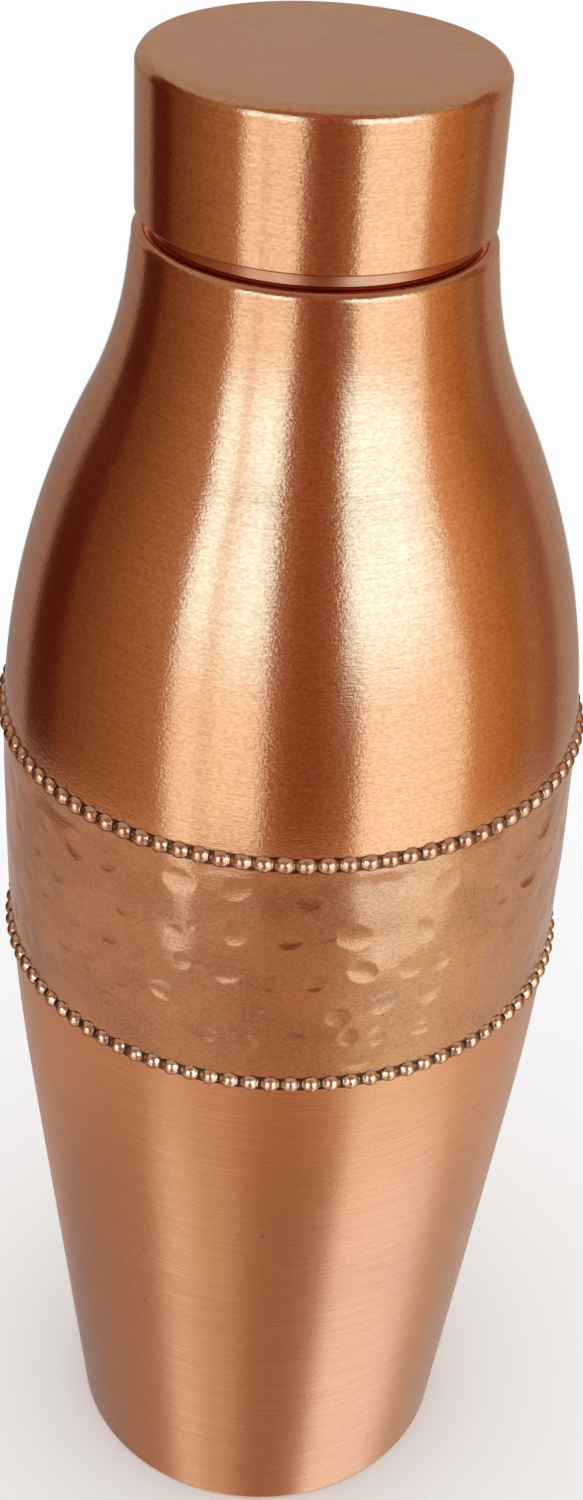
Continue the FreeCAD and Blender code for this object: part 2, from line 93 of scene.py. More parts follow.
def straight(p, q, n=1):
    dr, dz = q[0] - p[0], q[1] - p[1]
    length = math.hypot(dr, dz)
    nr, nz = dz / length, -dr / length
    return [(p[0] + dr * i / n, p[1] + dz * i / n, nr, nz) for i in range(n + 1)]


def rounding(cr, cz, radius, a0, a1, n=8, hollow=False):
    """Arc from angle a0 to a1 (degrees); hollow flips the normal inwards."""
    k = -1.0 if hollow else 1.0
    out = []
    for i in range(n + 1):
        a = math.radians(a0 + (a1 - a0) * i / n)
        out.append((cr + radius * math.cos(a), cz + radius * math.sin(a), k * math.cos(a), k * math.sin(a)))
    return out


def lathe(name, runs, n=360):
    """Closed solid of revolution. Each run is a smooth stretch of the profile; the
    runs follow one another end to end and the last one meets the first."""
    ring_pts, index = [], {}

    def ring(r, z):
        key = (round(r, 5), round(z, 5))
        if key not in index:
            index[key] = len(ring_pts)
            ring_pts.append((max(r, 0.0), z))
        return index[key]

    quads = []
    for run in runs:
        for p, q in zip(run[:-1], run[1:]):
            i, j = ring(p[0], p[1]), ring(q[0], q[1])
            if i != j:
                quads.append((i, j, p[2:], q[2:]))
    cos = np.cos(np.arange(n) * 2 * math.pi / n)
    sin = np.sin(np.arange(n) * 2 * math.pi / n)
    verts, base = [], []
    for r, z in ring_pts:
        base.append(len(verts))
        if r < 1e-6:
            verts.append((0.0, 0.0, z * MM))
        else:
            verts.extend((r * c * MM, r * s * MM, z * MM) for c, s in zip(cos, sin))
    faces, normals = [], []
    for i, j, ni, nj in quads:
        ri, rj = ring_pts[i][0], ring_pts[j][0]
        for k in range(n):
            k2 = (k + 1) % n
            a, b = (base[i] + k, base[i] + k2) if ri > 1e-6 else (base[i], None)
            c, d = (base[j] + k2, base[j] + k) if rj > 1e-6 else (base[j], None)
            na = (ni[0] * cos[k], ni[0] * sin[k], ni[1])
            nb = (ni[0] * cos[k2], ni[0] * sin[k2], ni[1])
            nc = (nj[0] * cos[k2], nj[0] * sin[k2], nj[1])
            nd = (nj[0] * cos[k], nj[0] * sin[k], nj[1])
            if b is None:
                faces.append((a, c, d)); normals.extend((na, nc, nd))
            elif d is None:
                faces.append((a, b, c)); normals.extend((na, nb, nc))
            else:
                faces.append((a, b, c, d)); normals.extend((na, nb, nc, nd))
    me = bpy.data.meshes.new(name)
    me.from_pydata(verts, [], faces)
    me.validate()
    me.polygons.foreach_set("use_smooth", [True] * len(me.polygons))
    me.normals_split_custom_set([Vector(v).normalized() for v in normals])
    obj = bpy.data.objects.new(name, me)
    bpy.context.scene.collection.objects.link(obj)
    return obj


# ------------------------------------------------------------------ material
class Nodes:
    """Small helper for writing a shader tree from top to bottom."""

    def __init__(self, tree):
        self.t = tree
        tree.nodes.clear()

    def new(self, kind, **kw):
        node = self.t.nodes.new(kind)
        for key, value in kw.items():
            setattr(node, key, value)
        return node

    def put(self, socket, value):
        if isinstance(value, bpy.types.NodeSocket):
            self.t.links.new(value, socket)
        elif value is not None:
            socket.default_value = value

    def math(self, op, a, b=None, c=None, clamp=False):
        node = self.new("ShaderNodeMath", operation=op, use_clamp=clamp)
        for i, v in enumerate((a, b, c)):
            self.put(node.inputs[i], v)
        return node.outputs[0]

    def smooth(self, x, lo, hi, a=0.0, b=1.0):
        node = self.new("ShaderNodeMapRange", interpolation_type="SMOOTHSTEP", clamp=True)
        for name, v in (("Value", x), ("From Min", lo), ("From Max", hi), ("To Min", a), ("To Max", b)):
            self.put(node.inputs[name], v)
        return node.outputs["Result"]

    def linear(self, x, lo, hi, a=0.0, b=1.0):
        node = self.new("ShaderNodeMapRange", interpolation_type="LINEAR", clamp=True)
        for name, v in (("Value", x), ("From Min", lo), ("From Max", hi), ("To Min", a), ("To Max", b)):
            self.put(node.inputs[name], v)
        return node.outputs["Result"]

    def mix(self, fac, a, b, blend="MIX"):
        node = self.new("ShaderNodeMix", data_type="RGBA", blend_type=blend)
        self.put(node.inputs[0], fac)
        self.put(node.inputs[6], a)
        self.put(node.inputs[7], b)
        return node.outputs[2]

    def mixf(self, fac, a, b):
        node = self.new("ShaderNodeMix", data_type="FLOAT")
        self.put(node.inputs[0], fac)
        self.put(node.inputs[2], a)
        self.put(node.inputs[3], b)
        return node.outputs[0]

    def scaled(self, vector, scale, shift=(0.0, 0.0, 0.0)):
        node = self.new("ShaderNodeMapping", vector_type="POINT")
        self.put(node.inputs["Vector"], vector)
        node.inputs["Scale"].default_value = scale
        node.inputs["Location"].default_value = shift
        return node.outputs["Vector"]

    def noise(self, vector, scale=1.0, detail=2.0, rough=0.5, distortion=0.0):
        node = self.new("ShaderNodeTexNoise", noise_dimensions="3D")
        self.put(node.inputs["Vector"], vector)
        node.inputs["Scale"].default_value = scale
        node.inputs["Detail"].default_value = detail
        node.inputs["Roughness"].default_value = rough
        node.inputs["Distortion"].default_value = distortion
        return node.outputs["Fac"]

    def cells(self, vector, scale=1.0, feature="F1"):
        node = self.new("ShaderNodeTexVoronoi", feature=feature)
        self.put(node.inputs["Vector"], vector)
        node.inputs["Scale"].default_value = scale
        return node

    def bump(self, height, distance, normal=None, strength=1.0):
        node = self.new("ShaderNodeBump")
        node.inputs["Strength"].default_value = strength
        node.inputs["Distance"].default_value = distance
        self.put(node.inputs["Height"], height)
        if normal is not None:
            self.put(node.inputs["Normal"], normal)
        return node.outputs["Normal"]

    def attribute(self, name):
        node = self.new("ShaderNodeAttribute", attribute_type="GEOMETRY", attribute_name=name)
        return node.outputs["Fac"]


COPPER = (0.96, 0.465, 0.225, 1.0)
COPPER_DULL = (0.62, 0.30, 0.155, 1.0)
# dark oxide; also the colour of the painted contact shade along the bead-wire seams
OXIDE_AND_SHADE = (0.070, 0.020, 0.012, 1.0)


def new_material(name):
    mat = bpy.data.materials.new(name)
    mat.use_nodes = True
    return mat, Nodes(mat.node_tree)


def copper(name, rough=0.25, aniso=0.75, lines=0.006, grain=0.012, coat=0.25, tint=COPPER,
           patina=0.0, seams=(), flat=False, specks=1.0, streak=0.0, painted_shade_band=None, pepper=0.0):
    """Copper brushed around the bottle's axis. lines and grain are heights in mm."""
    mat, N = new_material(name)
    out = N.new("ShaderNodeOutputMaterial")
    bsdf = N.new("ShaderNodeBsdfPrincipled")
    N.put(out.inputs["Surface"], bsdf.outputs[0])
    co = N.new("ShaderNodeTexCoord").outputs["Object"]
    xyz = N.new("ShaderNodeSeparateXYZ")
    N.put(xyz.inputs[0], co)
    z = xyz.outputs["Z"]
    if flat:
        fine = N.noise(N.scaled(co, (500.0, 2600.0, 900.0)), 1.0, 2.0, 0.6)
        broad = N.noise(N.scaled(co, (60.0, 90.0, 90.0), (3.1, 0.0, 1.0)), 1.0, 3.0, 0.5)
    else:
        fine = N.noise(N.scaled(co, (75.0, 75.0, 4200.0)), 1.0, 2.0, 0.6)
        broad = N.noise(N.scaled(co, (120.0, 120.0, 2400.0), (0.2, 0.7, 0.3)), 1.0, 2.0, 0.5)
    speck = N.noise(co, 2600.0, 1.0, 0.5)
    sweep = N.noise(N.scaled(co, (22.0, 22.0, 60.0), (4.0, 2.0, 1.0)), 1.0, 3.0, 0.55)
    n1 = N.bump(fine, lines * MM)
    n2 = N.bump(broad, lines * MM, n1)
    n3 = N.bump(speck, grain * MM, n2)
    if streak:
        # short brush strokes, which break the edges of what the metal reflects
        hatch = N.noise(N.scaled(co, (850.0, 850.0, 3800.0), (0.6, 0.2, 0.4)), 1.0, 1.0, 0.5)
        n3 = N.bump(hatch, streak * MM, n3)
    # long faint differences between strokes, and the dulling of handled metal
    stroke = N.linear(broad, 0.3, 0.7, 0.0, 1.0)
    tone = N.mix(N.math("MULTIPLY", stroke, 0.10 if flat else 0.24), tint, (tint[0] * 0.72, tint[1] * 0.62, tint[2] * 0.55, 1.0))
    tone = N.mix(N.linear(fine, 0.35, 0.65, 0.0, 0.24), tone, (tint[0] * 0.66, tint[1] * 0.50, tint[2] * 0.42, 1.0))
    tone = N.mix(N.smooth(sweep, 0.45, 0.75, 0.0, 0.16 + patina), tone, COPPER_DULL)
    if pepper:
        # the open grain left by the brush, light and dark
        pores = N.noise(N.scaled(co, (1500.0, 1500.0, 2700.0), (0.3, 0.8, 0.1)), 1.0, 1.0, 0.5)
        tone = N.mix(N.linear(pores, 0.46, 0.70, 0.0, pepper), tone, (tint[0] * 0.55, tint[1] * 0.40, tint[2] * 0.30, 1.0))
        tone = N.mix(N.linear(pores, 0.54, 0.32, 0.0, pepper * 0.7), tone, (1.0, 0.62, 0.38, 1.0))
    # sparse dark specks
    cell = N.cells(co, 210.0)
    dot = N.math("LESS_THAN", cell.outputs["Distance"], 0.055)
    pick = N.new("ShaderNodeSeparateColor")
    N.put(pick.inputs[0], cell.outputs["Color"])
    rare = N.math("GREATER_THAN", pick.outputs[0], 0.93)
    tone = N.mix(N.math("MULTIPLY", N.math("MULTIPLY", dot, rare), 0.40 * specks), tone, OXIDE_AND_SHADE)
    # painted contact shade where the bead wire meets the body, with oxide left along the soldered seam; no lacquer
    # over it
    lacquer = coat
    for seam in seams:
        off = N.math("ABSOLUTE", N.math("SUBTRACT", z, seam * MM))
        wobble = N.noise(N.scaled(co, (500.0, 500.0, 500.0)), 1.0, 2.0, 0.6)
        edge = N.math("ADD", off, N.linear(wobble, 0.2, 0.8, -0.0002, 0.0002))
        grime_and_shade = N.smooth(edge, 0.00108, 0.00132, 0.92, 0.0)
        tone = N.mix(grime_and_shade, tone, OXIDE_AND_SHADE)
        lacquer = N.math("MULTIPLY", N.math("SUBTRACT", 1.0, grime_and_shade), coat)
    # painted shade: a band by height is darkened to a given colour where parts stand in each other's shadow
    if painted_shade_band:
        lo, hi, rise, *shade = painted_shade_band
        tone = N.mix(N.smooth(z, lo * MM, hi * MM, *rise), tone, shade[0] if shade else (0.62, 0.20, 0.085, 1.0))
    N.put(bsdf.inputs["Base Color"], tone)
    bsdf.inputs["Metallic"].default_value = 1.0
    N.put(bsdf.inputs["Roughness"], N.linear(N.math("ADD", N.math("MULTIPLY", sweep, 0.6), N.math("MULTIPLY", stroke, 0.4)),
                                             0.2, 0.8, rough * 0.88, rough * 1.12))
    bsdf.inputs["Anisotropic"].default_value = aniso
    bsdf.inputs["Anisotropic Rotation"].default_value = 0.25
    if aniso:
        tangent = N.new("ShaderNodeTangent", direction_type="RADIAL", axis="Z")
        N.put(bsdf.inputs["Tangent"], tangent.outputs[0])
    N.put(bsdf.inputs["Coat Weight"], lacquer)
    bsdf.inputs["Coat Roughness"].default_value = 0.06
    bsdf.inputs["Coat IOR"].default_value = 1.45
    N.put(bsdf.inputs["Normal"], n3)
    coat_n = N.bump(N.noise(co, 260.0, 2.0, 0.5), 0.004 * MM)
    N.put(bsdf.inputs["Coat Normal"], coat_n)
    return mat


# painted shade on the ledge and the top of its rim under the cap; the seam band below the upper bead wire is painted
# contact shade with oxide
mat_upper = copper("copper_bright", rough=0.16, aniso=0.6, lines=0.003, grain=0.013, coat=0.35, seams=(UP_Z,), streak=0.018, pepper=0.26,
                   painted_shade_band=(LEDGE_Z - 0.75, LEDGE_Z - 0.30, (0.0, 0.85), (0.74, 0.25, 0.11, 1.0)))
# painted shade: a thin dark line along the cap's bottom edge
mat_cap = copper("copper_cap", rough=0.16, aniso=0.6, lines=0.003, grain=0.013, coat=0.35, streak=0.018, pepper=0.26,
                 painted_shade_band=(CAP_Z + 0.12, CAP_Z + 0.32, (0.92, 0.0), (0.30, 0.08, 0.035, 1.0)))
mat_top = copper("copper_cap_top", rough=0.42, aniso=0.0, lines=0.002, grain=0.004, coat=0.2, flat=True)
# the seam band above the lower bead wire is painted contact shade with oxide
mat_lower = copper("copper_satin", rough=0.22, aniso=0.55, lines=0.003, grain=0.010, coat=0.1, seams=(LOW_Z,), streak=0.013, pepper=0.08)
mat_inside = copper("copper_inside", rough=0.33, aniso=0.6, lines=0.004, grain=0.008, coat=0.0, patina=0.25)
mat_turned = copper("copper_turned", rough=0.22, aniso=0.6, lines=0.003, grain=0.004, coat=0.0)
# painted shade: the neck ring goes deep red towards the collar's foot under the cap, and a little all the way up
mat_neck = copper("copper_neck", rough=0.28, aniso=0.5, lines=0.003, grain=0.006, coat=0.0,
                  painted_shade_band=(LEDGE_Z + 1.2, LEDGE_Z + 2.6, (1.0, 0.10), (0.70, 0.235, 0.10, 1.0)))

# -------------------------------------------------------------------- shells
FA = math.degrees(TAPER)
foot_t = 1.0 * math.tan((math.pi / 2 - TAPER) / 2)
foot_side_z = foot_t * math.cos(TAPER)
foot_in = (FOOT_R - WALL / math.cos(TAPER)) + math.tan(TAPER) * WALL
in_t = 0.5 * math.tan((math.pi / 2 - TAPER) / 2)
rs, a_s = outer(LOW_Z)
lap_r = rs - WALL - GAP
jr, ja = outer(LOW_Z - 3.0)
joggle = (jr - WALL * math.cos(ja), LOW_Z - 3.0 + WALL * math.sin(ja))
rim_r = FOOT_R - 3.4
lower = lathe("lower_body_shell", [
    rounding(FOOT_R - foot_t, 1.0, 1.0, -90, -FA, 8),
    wall_run(foot_side_z, LOW_Z, 1.5),
    straight((rs, LOW_Z), (lap_r, LOW_Z)),
    straight((lap_r, LOW_Z), (lap_r, LOW_Z + LAP), 3),
    straight((lap_r, LOW_Z + LAP), (lap_r - WALL, LOW_Z + LAP)),
    straight((lap_r - WALL, LOW_Z + LAP), (lap_r - WALL, LOW_Z - 1.5), 3),
    straight((lap_r - WALL, LOW_Z - 1.5), joggle),
    wall_run(LOW_Z - 3.0, 1.4, 2.5, WALL),
    rounding(foot_in - in_t, 1.0, 0.5, -FA, -90, 6, hollow=True),
    straight((foot_in - in_t, WALL), (rim_r, WALL)),
    straight((rim_r, WALL), (rim_r, 0.0)),
    straight((rim_r, 0.0), (FOOT_R - foot_t, 0.0)),
])
lower.data.materials.append(mat_lower)
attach(lower, "bottle"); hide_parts("lower_body")

ledge_r = R_THR + math.tan(A_THR) * (LEDGE_Z - THROAT_Z)
ledge_t = LEDGE_ROUND * math.tan((math.pi / 2 + A_THR) / 2)
side_z = LEDGE_Z - ledge_t * math.cos(A_THR)


def belly_inside(z):
    centre_z = TAPER_Z + BELLY_R * math.sin(TAPER)
    centre_r = R_TAPER - BELLY_R * math.cos(TAPER)
    return centre_r + math.sqrt((BELLY_R - WALL) ** 2 - (z - centre_z) ** 2)


lap_u = belly_inside(UP_Z) - GAP
hole = 20.5 + GAP
ur, ua = outer(UP_Z + 3.0)
joggle_u = (ur - WALL * math.cos(ua), UP_Z + 3.0 + WALL * math.sin(ua))
in_ledge = ledge_r - WALL / math.cos(A_THR) - math.tan(A_THR) * WALL
lt = (LEDGE_ROUND - WALL) * math.tan((math.pi / 2 + A_THR) / 2)
LA = math.degrees(A_THR)
upper = lathe("upper_body_shell", [
    wall_run(UP_Z, side_z, 0.8),
    rounding(ledge_r - ledge_t, LEDGE_Z - LEDGE_ROUND, LEDGE_ROUND, -LA, 90, 10),
    straight((ledge_r - ledge_t, LEDGE_Z), (hole, LEDGE_Z), 2),
    straight((hole, LEDGE_Z), (hole, LEDGE_Z - WALL)),
    straight((hole, LEDGE_Z - WALL), (in_ledge - lt, LEDGE_Z - WALL)),
    rounding(in_ledge - lt, LEDGE_Z - LEDGE_ROUND, LEDGE_ROUND - WALL, 90, -LA, 6, hollow=True),
    wall_run(LEDGE_Z - WALL - lt - 0.5, UP_Z + 3.0, 1.5, WALL),
    straight(joggle_u, (lap_u - WALL, UP_Z + 1.5)),
    straight((lap_u - WALL, UP_Z + 1.5), (lap_u - WALL, UP_Z - LAP), 3),
    straight((lap_u - WALL, UP_Z - LAP), (lap_u, UP_Z - LAP)),
    straight((lap_u, UP_Z - LAP), (lap_u, UP_Z), 3),
    straight((lap_u, UP_Z), (R_UP, UP_Z)),
])
upper.data.materials.append(mat_upper)
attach(upper, "bottle"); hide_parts("upper_body")

ci = CAP_ROUND - CAP_WALL
cap = lathe("cap_cup", [
    straight((0.0, TOP_Z - CAP_WALL), (CAP_R - CAP_ROUND, TOP_Z - CAP_WALL), 4),
    rounding(CAP_R - CAP_ROUND, TOP_Z - CAP_ROUND, ci, 90, 0, 6, hollow=True),
    straight((CAP_R - CAP_WALL, TOP_Z - CAP_ROUND), (CAP_R - CAP_WALL, CAP_Z), 4),
    straight((CAP_R - CAP_WALL, CAP_Z), (CAP_R - 0.25, CAP_Z)),
    rounding(CAP_R - 0.25, CAP_Z + 0.25, 0.25, -90, 0, 4),
    straight((CAP_R, CAP_Z + 0.25), (CAP_R, TOP_Z - CAP_ROUND), 12),
    rounding(CAP_R - CAP_ROUND, TOP_Z - CAP_ROUND, CAP_ROUND, 0, 90, 12),
    straight((CAP_R - CAP_ROUND, TOP_Z), (0.0, TOP_Z), 8),
])
cap.data.materials.append(mat_cap)
cap.data.materials.append(mat_top)
for poly in cap.data.polygons:
    if poly.center.z > (TOP_Z - 0.35) * MM:
        poly.material_index = 1
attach(cap, "cap"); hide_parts("cap_shell")

# ------------------------------------------------------------- hammered band
# Hammer marks on the side seen in front (turn in degrees from -Y towards
# +X, height, radius in mm); round the rest they follow the same loose grid.
MARKS = [
    (-22.2, 123.6, 2.0), (-18.2, 130.1, 1.6), (-14.5, 130.5, 1.2), (-9.2, 129.3, 1.9), (-3.2, 123.4, 1.0),
    (-8.2, 123.5, 0.7), (-5.0, 117.3, 1.6), (-8.0, 136.8, 2.2), (-8.8, 144.4, 2.4), (-19.2, 144.0, 2.4),
    (11.8, 122.0, 2.0), (-19.8, 135.2, 1.2), (2.0, 136.7, 2.2), (7.0, 128.5, 1.6), (-1.0, 128.4, 1.6),
    (-16.5, 136.7, 0.7), (16.0, 130.1, 2.2), (25.5, 129.2, 2.0), (20.8, 123.8, 2.2), (30.2, 123.5, 2.0),
    (32.0, 128.8, 1.8), (14.0, 118.0, 1.8), (19.8, 117.3, 1.8), (29.0, 116.9, 1.6), (28.0, 135.5, 2.0),
    (19.5, 144.2, 3.0), (31.8, 142.6, 2.6), (13.8, 136.5, 2.6), (9.5, 136.8, 1.0), (39.5, 126.5, 1.6),
    (5.0, 143.8, 2.2), (-12.5, 117.4, 1.5), (4.4, 117.8, 1.5),
]


def hammer_marks():
    rng = random.Random(41)
    marks = list(MARKS)
    for k, z in enumerate((117.2, 123.6, 129.8, 136.2, 142.8)):
        for i in range(42):
            turn = i * 360.0 / 42 + (4.2 if k % 2 else 0.0) + rng.uniform(-1.5, 1.5)
            turn = (turn + 180.0) % 360.0 - 180.0
            here = z + rng.uniform(-0.9, 0.9)
            size = rng.uniform(1.6, 2.6)
            if -27.0 < turn < 44.0 or rng.random() < 0.06:
                continue
            marks.append((turn, here, size))
            if rng.random() < 0.16:
                marks.append((turn + rng.uniform(-3, 3), here + rng.uniform(2.0, 3.2), rng.uniform(0.7, 1.1)))
    return marks


def band_mesh(n=1080, rows=140):
    z0, z1 = LOW_Z + GAP, UP_Z - GAP
    zz = np.linspace(z0, z1, rows)
    th = np.arange(n) * 2 * math.pi / n
    base = np.array([outer(float(z))[0] for z in zz])
    depth = np.zeros((rows, n))
    rng = random.Random(7)
    for turn, z, size in hammer_marks():
        a = math.radians(turn - 90.0)
        r = outer(z)[0]
        dth = (th - a + math.pi) % (2 * math.pi) - math.pi
        depth_here = size * rng.uniform(0.050, 0.074) * (1.0 if z < 140.0 else 0.6)
        squash, lean = rng.uniform(0.85, 1.15), rng.uniform(-0.3, 0.3)
        dx, dz = np.meshgrid(dth * r, zz - z)
        u, v = dx * squash + dz * lean, dz / squash
        q = (u * u + v * v) / (size * size)
        # the print of a round-faced hammer: a shallow bowl with a crisp edge
        f = np.clip(1.0 - q, 0.0, None)
        bowl = depth_here * np.where(f > 0.14, f - 0.07, f * f / 0.28)
        # the metal that a blow pushes up stands as a low lip round it
        lip = 0.05 * depth_here * np.exp(-((np.sqrt(q) - 1.10) / 0.16) ** 2)
        depth = np.maximum(depth, bowl) - np.where(depth < 1e-6, lip, 0.0)
    # the slow unevenness of beaten sheet
    wave = np.zeros_like(depth)
    for _ in range(46):
        kt = rng.choice((7, 9, 12, 15, 19, 23, 28, 34))
        kz = rng.uniform(-0.62, 0.62)
        wave += rng.uniform(0.3, 1.0) / kt * np.cos(kt * th[None, :] + kz * zz[:, None] + rng.uniform(0, 6.28))
    wave *= 0.042 / wave.std()
    edge = np.minimum(zz - z0, z1 - zz)
    keep = np.clip((edge - 1.2) / 2.4, 0, 1)
    keep = (keep * keep * (3 - 2 * keep))[:, None]
    total = np.clip((depth + wave + 0.05) * keep, -0.02, 0.36)
    rr = base[:, None] - total
    verts, faces = [], []
    cos, sin = np.cos(th), np.sin(th)
    for i in range(rows):
        verts.extend(zip(rr[i] * cos * MM, rr[i] * sin * MM, np.full(n, zz[i] * MM)))
    for i in range(rows - 1):
        for k in range(n):
            k2 = (k + 1) % n
            faces.append((i * n + k, i * n + k2, (i + 1) * n + k2, (i + 1) * n + k))
    m, inner_rows = n // 3, 9
    start = len(verts)
    ci_, si_ = cos[::3], sin[::3]
    for z in np.linspace(z1, z0, inner_rows):
        r = belly_inside(float(z))
        verts.extend(zip(r * ci_ * MM, r * si_ * MM, np.full(m, float(z) * MM)))
    for i in range(inner_rows - 1):
        for k in range(m):
            k2 = (k + 1) % m
            faces.append((start + i * m + k, start + i * m + k2, start + (i + 1) * m + k2, start + (i + 1) * m + k))
    top, bottom = (rows - 1) * n, start + (inner_rows - 1) * m
    for k in range(m):
        k2, f = (k + 1) % m, 3 * k
        faces.append((top + f, top + f + 1, top + f + 2, top + (f + 3) % n, start + k2, start + k))
        faces.append((bottom + k, bottom + k2, (f + 3) % n, f + 2, f + 1, f))
    me = bpy.data.meshes.new("hammered_sleeve")
    me.from_pydata(verts, [], faces)
    me.validate()
    dip = me.attributes.new("dip", "FLOAT", "POINT")
    values = np.zeros(len(verts), np.float32)
    values[:rows * n] = np.clip((total - 0.06) / 0.16, 0, 1).reshape(-1)
    dip.data.foreach_set("value", values)
    me.polygons.foreach_set("use_smooth", [True] * len(me.polygons))
    me.set_sharp_from_angle(angle=math.radians(50))
    obj = bpy.data.objects.new("hammered_sleeve", me)
    bpy.context.scene.collection.objects.link(obj)
    return obj


def hammered_copper():
    mat, N = new_material("copper_hammered_old")
    out = N.new("ShaderNodeOutputMaterial")
    bsdf = N.new("ShaderNodeBsdfPrincipled")
    N.put(out.inputs["Surface"], bsdf.outputs[0])
    co = N.new("ShaderNodeTexCoord").outputs["Object"]
    xyz = N.new("ShaderNodeSeparateXYZ")
    N.put(xyz.inputs[0], co)
    z = xyz.outputs["Z"]
    dip = N.attribute("dip")
    scratch = N.noise(N.scaled(co, (60.0, 60.0, 3000.0)), 1.0, 2.0, 0.6)
    stroke = N.noise(N.scaled(co, (90.0, 90.0, 1100.0), (0.4, 0.1, 0.9)), 1.0, 2.0, 0.5)
    speck = N.noise(co, 2800.0, 1.0, 0.5)
    cloud = N.noise(co, 95.0, 3.0, 0.6)
    cloud2 = N.noise(N.scaled(co, (240.0, 240.0, 420.0), (5.0, 1.0, 2.0)), 1.0, 3.0, 0.6)
    nrm = N.bump(scratch, 0.004 * MM)
    nrm = N.bump(stroke, 0.006 * MM, nrm)
    nrm = N.bump(speck, 0.010 * MM, nrm)
    hatch = N.noise(N.scaled(co, (850.0, 850.0, 3400.0), (0.6, 0.2, 0.4)), 1.0, 1.0, 0.5)
    nrm = N.bump(hatch, 0.006 * MM, nrm)
    base = (0.76, 0.375, 0.190, 1.0)
    tone = N.mix(N.smooth(cloud, 0.35, 0.70, 0.0, 0.45), base, (0.52, 0.245, 0.13, 1.0))
    tone = N.mix(N.smooth(cloud2, 0.50, 0.78, 0.0, 0.30), tone, (0.60, 0.34, 0.20, 1.0))
    pores = N.noise(N.scaled(co, (1700.0, 1700.0, 2400.0), (0.3, 0.8, 0.1)), 1.0, 1.0, 0.5)
    tone = N.mix(N.linear(pores, 0.46, 0.70, 0.0, 0.24), tone, (0.42, 0.16, 0.07, 1.0))
    tone = N.mix(N.linear(pores, 0.54, 0.32, 0.0, 0.22), tone, (0.88, 0.50, 0.29, 1.0))
    tone = N.mix(N.math("MULTIPLY", dip, 0.10), tone, (0.42, 0.19, 0.10, 1.0))
    # long fine scratches round the sleeve
    hair = N.noise(N.scaled(co, (26.0, 26.0, 5200.0), (1.7, 0.3, 2.2)), 1.0, 1.0, 0.4)
    hairs = N.math("MULTIPLY", N.smooth(hair, 0.70, 0.76), N.smooth(cloud2, 0.42, 0.60))
    tone = N.mix(N.math("MULTIPLY", hairs, 0.45), tone, (0.22, 0.085, 0.045, 1.0))
    # pitting in patches
    pit = N.noise(co, 3400.0, 1.0, 0.5)
    pits = N.math("MULTIPLY", N.smooth(pit, 0.60, 0.70), N.smooth(cloud, 0.48, 0.62))
    tone = N.mix(N.math("MULTIPLY", pits, 0.45), tone, OXIDE_AND_SHADE)
    # painted contact shade where the bead wires meet the sleeve, with oxide at the soldered seams
    for seam in (LOW_Z, UP_Z):
        off = N.math("ABSOLUTE", N.math("SUBTRACT", z, seam * MM))
        wobble = N.noise(co, 500.0, 2.0, 0.6)
        edge = N.math("ADD", off, N.linear(wobble, 0.2, 0.8, -0.0003, 0.0003))
        tone = N.mix(N.smooth(edge, 0.00108, 0.00132, 0.90, 0.0), tone, OXIDE_AND_SHADE)
    N.put(bsdf.inputs["Base Color"], tone)
    bsdf.inputs["Metallic"].default_value = 1.0
    N.put(bsdf.inputs["Roughness"], N.linear(cloud, 0.3, 0.7, 0.10, 0.19))
    bsdf.inputs["Anisotropic"].default_value = 0.25
    bsdf.inputs["Anisotropic Rotation"].default_value = 0.25
    tangent = N.new("ShaderNodeTangent", direction_type="RADIAL", axis="Z")
    N.put(bsdf.inputs["Tangent"], tangent.outputs[0])
    bsdf.inputs["Coat Weight"].default_value = 0.12
    bsdf.inputs["Coat Roughness"].default_value = 0.12
    N.put(bsdf.inputs["Normal"], nrm)
    return mat


band = band_mesh()
band.data.materials.append(hammered_copper())
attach(band, "bottle"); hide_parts("hammered_band")


# --------------------------------------------------------------- beaded wire
def beaded_wire(name, seam_z, count, first_turn, seed, half, per=26, around=20):
    """One closed ring whose round section swells into a row of beads."""
    rng = random.Random(seed)
    seam_r = outer(seam_z)[0]
    mid, back = seam_r + BEAD_STAND - BEAD_R, seam_r - 0.12
    pitch = 2 * math.pi * mid / count
    verts, cav, faces = [], [], []
    n = count * per
    sizes = [rng.uniform(0.965, 1.0) for _ in range(count)]
    drops = [rng.uniform(-0.05, 0.05) for _ in range(count)]
    shift = [rng.uniform(-0.05, 0.05) for _ in range(count)]
    for i in range(n):
        b, k = divmod(i, per)
        t = (k + 0.5) / per - 0.5
        s = t * pitch + shift[b] * max(0.0, 1 - abs(t) * 2)
        bead = BEAD_R * sizes[b]
        swell = bead * math.sqrt(max(1.0 - (s / half) ** 2, 0.0))
        # a narrow neck of wire between two beads
        rho = (swell ** 6 + (CORE_R * 0.86) ** 6) ** (1 / 6.0)
        turn = math.radians(first_turn - 90.0) + (b + t) * 2 * math.pi / count
        zc = seam_z + drops[b] * max(0.0, 1 - abs(t) * 2)
        phim = math.acos(max(-1.0, min(1.0, (back - mid) / rho)))
        for j in range(around + 1):
            phi = -phim + 2 * phim * j / around
            r = mid + rho * math.cos(phi)
            verts.append((r * math.cos(turn) * MM, r * math.sin(turn) * MM, (zc + rho * math.sin(phi)) * MM))
            # painted shade with some oxide: the necks between beads and the back where the wire meets the body are
            # marked for darkening
            neck = min(1.0, max(0.0, (abs(t) - (0.41 if half > 1.4 else 0.37)) / 0.07))
            side = min(1.0, max(0.0, (abs(phi) / phim - 0.88) / 0.12))
            cav.append(max(neck, side * 0.9))
    w = around + 1
    for i in range(n):
        i2 = (i + 1) % n
        for j in range(around):
            faces.append((i * w + j, i2 * w + j, i2 * w + j + 1, i * w + j + 1))
        faces.append((i * w + around, i2 * w + around, i2 * w, i * w))
    me = bpy.data.meshes.new(name)
    me.from_pydata(verts, [], faces)
    me.validate()
    att = me.attributes.new("hollow", "FLOAT", "POINT")
    att.data.foreach_set("value", np.array(cav, np.float32))
    me.polygons.foreach_set("use_smooth", [True] * len(me.polygons))
    me.set_sharp_from_angle(angle=math.radians(55))
    obj = bpy.data.objects.new(name, me)
    bpy.context.scene.collection.objects.link(obj)
    return obj


